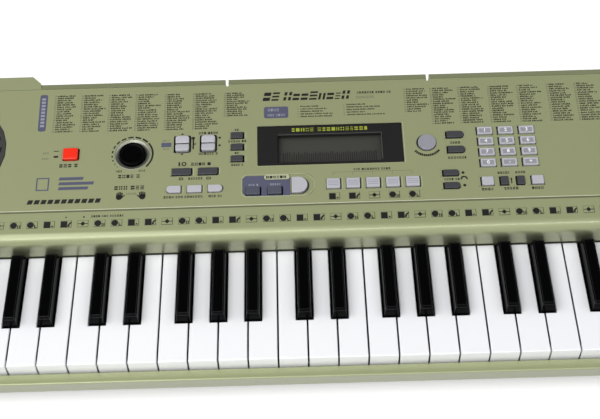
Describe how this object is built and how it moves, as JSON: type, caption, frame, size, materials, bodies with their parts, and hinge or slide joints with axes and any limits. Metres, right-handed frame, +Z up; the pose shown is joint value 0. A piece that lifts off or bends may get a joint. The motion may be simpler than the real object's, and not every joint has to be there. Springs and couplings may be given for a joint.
{
  "type": "electronic keyboard",
  "caption": "Portable electronic keyboard with hinged piano keys in an open well, sloping control panel with buttons, knob and display, and round speakers at both ends.",
  "frame": {"origin": "centre of the box round the keyboard, on the surface that it stands on", "axes": "+X towards the player's right along the keys, +Y from the player to the back, +Z up"},
  "size_m": [0.72, 0.247, 0.0793],
  "materials": {
    "olive_plastic": "satin metallic paint",
    "dark_olive_plastic": "fine texture",
    "key_white": "gloss",
    "key_black": "gloss",
    "button_light": "satin",
    "button_dark": "satin",
    "power_red": "gloss",
    "knob_black": "gloss",
    "bezel_black": "satin",
    "display_grey": "satin glass over a grey panel",
    "grille_dark": "satin",
    "speaker_black": "matt",
    "board_green": "satin",
    "frame_grey": "matt",
    "rubber_dark": "matt",
    "screw_steel": "zinc plated"
  },
  "bodies": {
    "case": {"upper_case": "olive_plastic", "lower_case": "dark_olive_plastic", "control_panel": "olive_plastic", "display_bezel": "bezel_black", "lcd_module": "display_grey", "main_board": "board_green", "jack_board": "board_green", "speaker_grilles": "grille_dark", "speaker_drivers": "speaker_black", "key_frame": "frame_grey", "contact_strip": "rubber_dark", "rubber_feet": "rubber_dark", "case_screws": "screw_steel"},
    "battery_door": {"battery_door": "dark_olive_plastic"},
    "chord_buttons": {"chord_buttons": "button_light"},
    "demo_buttons": {"demo_buttons": "button_dark"},
    "drum_buttons": {"drum_buttons": "button_light"},
    "effect_buttons": {"effect_buttons": "button_light"},
    "key_a_2": {"key_a_2": "key_white"},
    "key_a_3": {"key_a_3": "key_white"},
    "key_a_sharp_2": {"key_a_sharp_2": "key_black"},
    "key_a_sharp_3": {"key_a_sharp_3": "key_black"},
    "key_b_2": {"key_b_2": "key_white"},
    "key_b_3": {"key_b_3": "key_white"},
    "key_c_2": {"key_c_2": "key_white"},
    "key_c_3": {"key_c_3": "key_white"},
    "key_c_4": {"key_c_4": "key_white"},
    "key_c_sharp_2": {"key_c_sharp_2": "key_black"},
    "key_c_sharp_3": {"key_c_sharp_3": "key_black"},
    "key_c_sharp_4": {"key_c_sharp_4": "key_black"},
    "key_d_2": {"key_d_2": "key_white"},
    "key_d_3": {"key_d_3": "key_white"},
    "key_d_4": {"key_d_4": "key_white"},
    "key_d_sharp_2": {"key_d_sharp_2": "key_black"},
    "key_d_sharp_3": {"key_d_sharp_3": "key_black"},
    "key_d_sharp_4": {"key_d_sharp_4": "key_black"},
    "key_e_2": {"key_e_2": "key_white"},
    "key_e_3": {"key_e_3": "key_white"},
    "key_f_2": {"key_f_2": "key_white"},
    "key_f_3": {"key_f_3": "key_white"},
    "key_f_sharp_2": {"key_f_sharp_2": "key_black"},
    "key_f_sharp_3": {"key_f_sharp_3": "key_black"},
    "key_g_2": {"key_g_2": "key_white"},
    "key_g_3": {"key_g_3": "key_white"},
    "key_g_sharp_2": {"key_g_sharp_2": "key_black"},
    "key_g_sharp_3": {"key_g_sharp_3": "key_black"},
    "keypad_buttons": {"keypad_buttons": "button_light"},
    "left_black_keys": {"left_black_keys": "key_black"},
    "left_rocker": {"left_rocker": "button_light"},
    "left_white_keys": {"left_white_keys": "key_white"},
    "lesson_buttons": {"lesson_buttons": "button_dark"},
    "play_button": {"play_button": "button_light"},
    "power_button": {"power_button": "power_red"},
    "record_buttons": {"record_buttons": "button_dark"},
    "right_black_keys": {"right_black_keys": "key_black"},
    "right_rocker": {"right_rocker": "button_light"},
    "right_white_keys": {"right_white_keys": "key_white"},
    "select_buttons": {"select_buttons": "button_dark"},
    "start_button": {"start_button": "button_light"},
    "volume_knob": {"volume_knob": "knob_black"}
  },
  "joints": [
    {"name": "battery_door_joint", "type": "hinge", "parent": "case", "child": "battery_door", "pos_m": [0.0972, 0.02886, 0.004], "axis": [-1, 0, 0], "range_deg": [0, 60]},
    {"name": "chord_buttons_joint", "type": "slide", "parent": "case", "child": "chord_buttons", "axis": [0, 0.1253, -0.9921], "range_m": [0, 0.0015], "stiffness_N_per_m": 1200, "springref_m": -0.002},
    {"name": "demo_buttons_joint", "type": "slide", "parent": "case", "child": "demo_buttons", "axis": [0, 0.1253, -0.9921], "range_m": [0, 0.0015], "stiffness_N_per_m": 600, "springref_m": -0.002},
    {"name": "drum_buttons_joint", "type": "slide", "parent": "case", "child": "drum_buttons", "axis": [0, 0.1253, -0.9921], "range_m": [0, 0.0015], "stiffness_N_per_m": 1500, "springref_m": -0.002},
    {"name": "effect_buttons_joint", "type": "slide", "parent": "case", "child": "effect_buttons", "axis": [0, 0.1253, -0.9921], "range_m": [0, 0.0015], "stiffness_N_per_m": 900, "springref_m": -0.002},
    {"name": "key_a_2_joint", "type": "hinge", "parent": "case", "child": "key_a_2", "pos_m": [0, 0.004, 0.034], "axis": [1, 0, 0], "range_deg": [0, 3.4], "stiffness_Nm_per_rad": 0.8, "springref_deg": -2.86},
    {"name": "key_a_3_joint", "type": "hinge", "parent": "case", "child": "key_a_3", "pos_m": [0, 0.004, 0.034], "axis": [1, 0, 0], "range_deg": [0, 3.4], "stiffness_Nm_per_rad": 0.8, "springref_deg": -2.86},
    {"name": "key_a_sharp_2_joint", "type": "hinge", "parent": "case", "child": "key_a_sharp_2", "pos_m": [0, 0.004, 0.034], "axis": [1, 0, 0], "range_deg": [0, 3.4], "stiffness_Nm_per_rad": 0.8, "springref_deg": -2.86},
    {"name": "key_a_sharp_3_joint", "type": "hinge", "parent": "case", "child": "key_a_sharp_3", "pos_m": [0, 0.004, 0.034], "axis": [1, 0, 0], "range_deg": [0, 3.4], "stiffness_Nm_per_rad": 0.8, "springref_deg": -2.86},
    {"name": "key_b_2_joint", "type": "hinge", "parent": "case", "child": "key_b_2", "pos_m": [0, 0.004, 0.034], "axis": [1, 0, 0], "range_deg": [0, 3.4], "stiffness_Nm_per_rad": 0.8, "springref_deg": -2.86},
    {"name": "key_b_3_joint", "type": "hinge", "parent": "case", "child": "key_b_3", "pos_m": [0, 0.004, 0.034], "axis": [1, 0, 0], "range_deg": [0, 3.4], "stiffness_Nm_per_rad": 0.8, "springref_deg": -2.86},
    {"name": "key_c_2_joint", "type": "hinge", "parent": "case", "child": "key_c_2", "pos_m": [0, 0.004, 0.034], "axis": [1, 0, 0], "range_deg": [0, 3.4], "stiffness_Nm_per_rad": 0.8, "springref_deg": -2.86},
    {"name": "key_c_3_joint", "type": "hinge", "parent": "case", "child": "key_c_3", "pos_m": [0, 0.004, 0.034], "axis": [1, 0, 0], "range_deg": [0, 3.4], "stiffness_Nm_per_rad": 0.8, "springref_deg": -2.86},
    {"name": "key_c_4_joint", "type": "hinge", "parent": "case", "child": "key_c_4", "pos_m": [0, 0.004, 0.034], "axis": [1, 0, 0], "range_deg": [0, 3.4], "stiffness_Nm_per_rad": 0.8, "springref_deg": -2.86},
    {"name": "key_c_sharp_2_joint", "type": "hinge", "parent": "case", "child": "key_c_sharp_2", "pos_m": [0, 0.004, 0.034], "axis": [1, 0, 0], "range_deg": [0, 3.4], "stiffness_Nm_per_rad": 0.8, "springref_deg": -2.86},
    {"name": "key_c_sharp_3_joint", "type": "hinge", "parent": "case", "child": "key_c_sharp_3", "pos_m": [0, 0.004, 0.034], "axis": [1, 0, 0], "range_deg": [0, 3.4], "stiffness_Nm_per_rad": 0.8, "springref_deg": -2.86},
    {"name": "key_c_sharp_4_joint", "type": "hinge", "parent": "case", "child": "key_c_sharp_4", "pos_m": [0, 0.004, 0.034], "axis": [1, 0, 0], "range_deg": [0, 3.4], "stiffness_Nm_per_rad": 0.8, "springref_deg": -2.86},
    {"name": "key_d_2_joint", "type": "hinge", "parent": "case", "child": "key_d_2", "pos_m": [0, 0.004, 0.034], "axis": [1, 0, 0], "range_deg": [0, 3.4], "stiffness_Nm_per_rad": 0.8, "springref_deg": -2.86},
    {"name": "key_d_3_joint", "type": "hinge", "parent": "case", "child": "key_d_3", "pos_m": [0, 0.004, 0.034], "axis": [1, 0, 0], "range_deg": [0, 3.4], "stiffness_Nm_per_rad": 0.8, "springref_deg": -2.86},
    {"name": "key_d_4_joint", "type": "hinge", "parent": "case", "child": "key_d_4", "pos_m": [0, 0.004, 0.034], "axis": [1, 0, 0], "range_deg": [0, 3.4], "stiffness_Nm_per_rad": 0.8, "springref_deg": -2.86},
    {"name": "key_d_sharp_2_joint", "type": "hinge", "parent": "case", "child": "key_d_sharp_2", "pos_m": [0, 0.004, 0.034], "axis": [1, 0, 0], "range_deg": [0, 3.4], "stiffness_Nm_per_rad": 0.8, "springref_deg": -2.86},
    {"name": "key_d_sharp_3_joint", "type": "hinge", "parent": "case", "child": "key_d_sharp_3", "pos_m": [0, 0.004, 0.034], "axis": [1, 0, 0], "range_deg": [0, 3.4], "stiffness_Nm_per_rad": 0.8, "springref_deg": -2.86},
    {"name": "key_d_sharp_4_joint", "type": "hinge", "parent": "case", "child": "key_d_sharp_4", "pos_m": [0, 0.004, 0.034], "axis": [1, 0, 0], "range_deg": [0, 3.4], "stiffness_Nm_per_rad": 0.8, "springref_deg": -2.86},
    {"name": "key_e_2_joint", "type": "hinge", "parent": "case", "child": "key_e_2", "pos_m": [0, 0.004, 0.034], "axis": [1, 0, 0], "range_deg": [0, 3.4], "stiffness_Nm_per_rad": 0.8, "springref_deg": -2.86},
    {"name": "key_e_3_joint", "type": "hinge", "parent": "case", "child": "key_e_3", "pos_m": [0, 0.004, 0.034], "axis": [1, 0, 0], "range_deg": [0, 3.4], "stiffness_Nm_per_rad": 0.8, "springref_deg": -2.86},
    {"name": "key_f_2_joint", "type": "hinge", "parent": "case", "child": "key_f_2", "pos_m": [0, 0.004, 0.034], "axis": [1, 0, 0], "range_deg": [0, 3.4], "stiffness_Nm_per_rad": 0.8, "springref_deg": -2.86},
    {"name": "key_f_3_joint", "type": "hinge", "parent": "case", "child": "key_f_3", "pos_m": [0, 0.004, 0.034], "axis": [1, 0, 0], "range_deg": [0, 3.4], "stiffness_Nm_per_rad": 0.8, "springref_deg": -2.86},
    {"name": "key_f_sharp_2_joint", "type": "hinge", "parent": "case", "child": "key_f_sharp_2", "pos_m": [0, 0.004, 0.034], "axis": [1, 0, 0], "range_deg": [0, 3.4], "stiffness_Nm_per_rad": 0.8, "springref_deg": -2.86},
    {"name": "key_f_sharp_3_joint", "type": "hinge", "parent": "case", "child": "key_f_sharp_3", "pos_m": [0, 0.004, 0.034], "axis": [1, 0, 0], "range_deg": [0, 3.4], "stiffness_Nm_per_rad": 0.8, "springref_deg": -2.86},
    {"name": "key_g_2_joint", "type": "hinge", "parent": "case", "child": "key_g_2", "pos_m": [0, 0.004, 0.034], "axis": [1, 0, 0], "range_deg": [0, 3.4], "stiffness_Nm_per_rad": 0.8, "springref_deg": -2.86},
    {"name": "key_g_3_joint", "type": "hinge", "parent": "case", "child": "key_g_3", "pos_m": [0, 0.004, 0.034], "axis": [1, 0, 0], "range_deg": [0, 3.4], "stiffness_Nm_per_rad": 0.8, "springref_deg": -2.86},
    {"name": "key_g_sharp_2_joint", "type": "hinge", "parent": "case", "child": "key_g_sharp_2", "pos_m": [0, 0.004, 0.034], "axis": [1, 0, 0], "range_deg": [0, 3.4], "stiffness_Nm_per_rad": 0.8, "springref_deg": -2.86},
    {"name": "key_g_sharp_3_joint", "type": "hinge", "parent": "case", "child": "key_g_sharp_3", "pos_m": [0, 0.004, 0.034], "axis": [1, 0, 0], "range_deg": [0, 3.4], "stiffness_Nm_per_rad": 0.8, "springref_deg": -2.86},
    {"name": "keypad_buttons_joint", "type": "slide", "parent": "case", "child": "keypad_buttons", "axis": [0, 0.1253, -0.9921], "range_m": [0, 0.0015], "stiffness_N_per_m": 3600, "springref_m": -0.002},
    {"name": "left_black_keys_joint", "type": "hinge", "parent": "case", "child": "left_black_keys", "pos_m": [0, 0.004, 0.034], "axis": [1, 0, 0], "range_deg": [0, 3.4], "stiffness_Nm_per_rad": 4, "springref_deg": -2.86},
    {"name": "left_rocker_joint", "type": "hinge", "parent": "case", "child": "left_rocker", "pos_m": [-0.11162, 0.05645, 0.06813], "axis": [1, 0, 0], "range_deg": [-4, 4], "stiffness_Nm_per_rad": 0.09},
    {"name": "left_white_keys_joint", "type": "hinge", "parent": "case", "child": "left_white_keys", "pos_m": [0, 0.004, 0.034], "axis": [1, 0, 0], "range_deg": [0, 3.4], "stiffness_Nm_per_rad": 5.6, "springref_deg": -2.86},
    {"name": "lesson_buttons_joint", "type": "slide", "parent": "case", "child": "lesson_buttons", "axis": [0, 0.1253, -0.9921], "range_m": [0, 0.0015], "stiffness_N_per_m": 900, "springref_m": -0.002},
    {"name": "play_button_joint", "type": "slide", "parent": "case", "child": "play_button", "axis": [0, 0.1253, -0.9921], "range_m": [0, 0.0015], "stiffness_N_per_m": 300, "springref_m": -0.002},
    {"name": "power_button_joint", "type": "slide", "parent": "case", "child": "power_button", "axis": [0, 0.1253, -0.9921], "range_m": [0, 0.0025], "stiffness_N_per_m": 400, "springref_m": -0.002},
    {"name": "record_buttons_joint", "type": "slide", "parent": "case", "child": "record_buttons", "axis": [0, 0.1253, -0.9921], "range_m": [0, 0.0015], "stiffness_N_per_m": 600, "springref_m": -0.002},
    {"name": "right_black_keys_joint", "type": "hinge", "parent": "case", "child": "right_black_keys", "pos_m": [0, 0.004, 0.034], "axis": [1, 0, 0], "range_deg": [0, 3.4], "stiffness_Nm_per_rad": 4, "springref_deg": -2.86},
    {"name": "right_rocker_joint", "type": "hinge", "parent": "case", "child": "right_rocker", "pos_m": [-0.09201, 0.05645, 0.06813], "axis": [1, 0, 0], "range_deg": [-4, 4], "stiffness_Nm_per_rad": 0.09},
    {"name": "right_white_keys_joint", "type": "hinge", "parent": "case", "child": "right_white_keys", "pos_m": [0, 0.004, 0.034], "axis": [1, 0, 0], "range_deg": [0, 3.4], "stiffness_Nm_per_rad": 7.2, "springref_deg": -2.86},
    {"name": "select_buttons_joint", "type": "slide", "parent": "case", "child": "select_buttons", "axis": [0, 0.1253, -0.9921], "range_m": [0, 0.0015], "stiffness_N_per_m": 1200, "springref_m": -0.002},
    {"name": "start_button_joint", "type": "slide", "parent": "case", "child": "start_button", "axis": [0, 0.1253, -0.9921], "range_m": [0, 0.0015], "stiffness_N_per_m": 300, "springref_m": -0.002},
    {"name": "volume_knob_joint", "type": "hinge", "parent": "case", "child": "volume_knob", "pos_m": [-0.14889, 0.04823, 0.07011], "axis": [0, -0.1253, 0.9921], "range_deg": [-140, 140]}
  ]
}
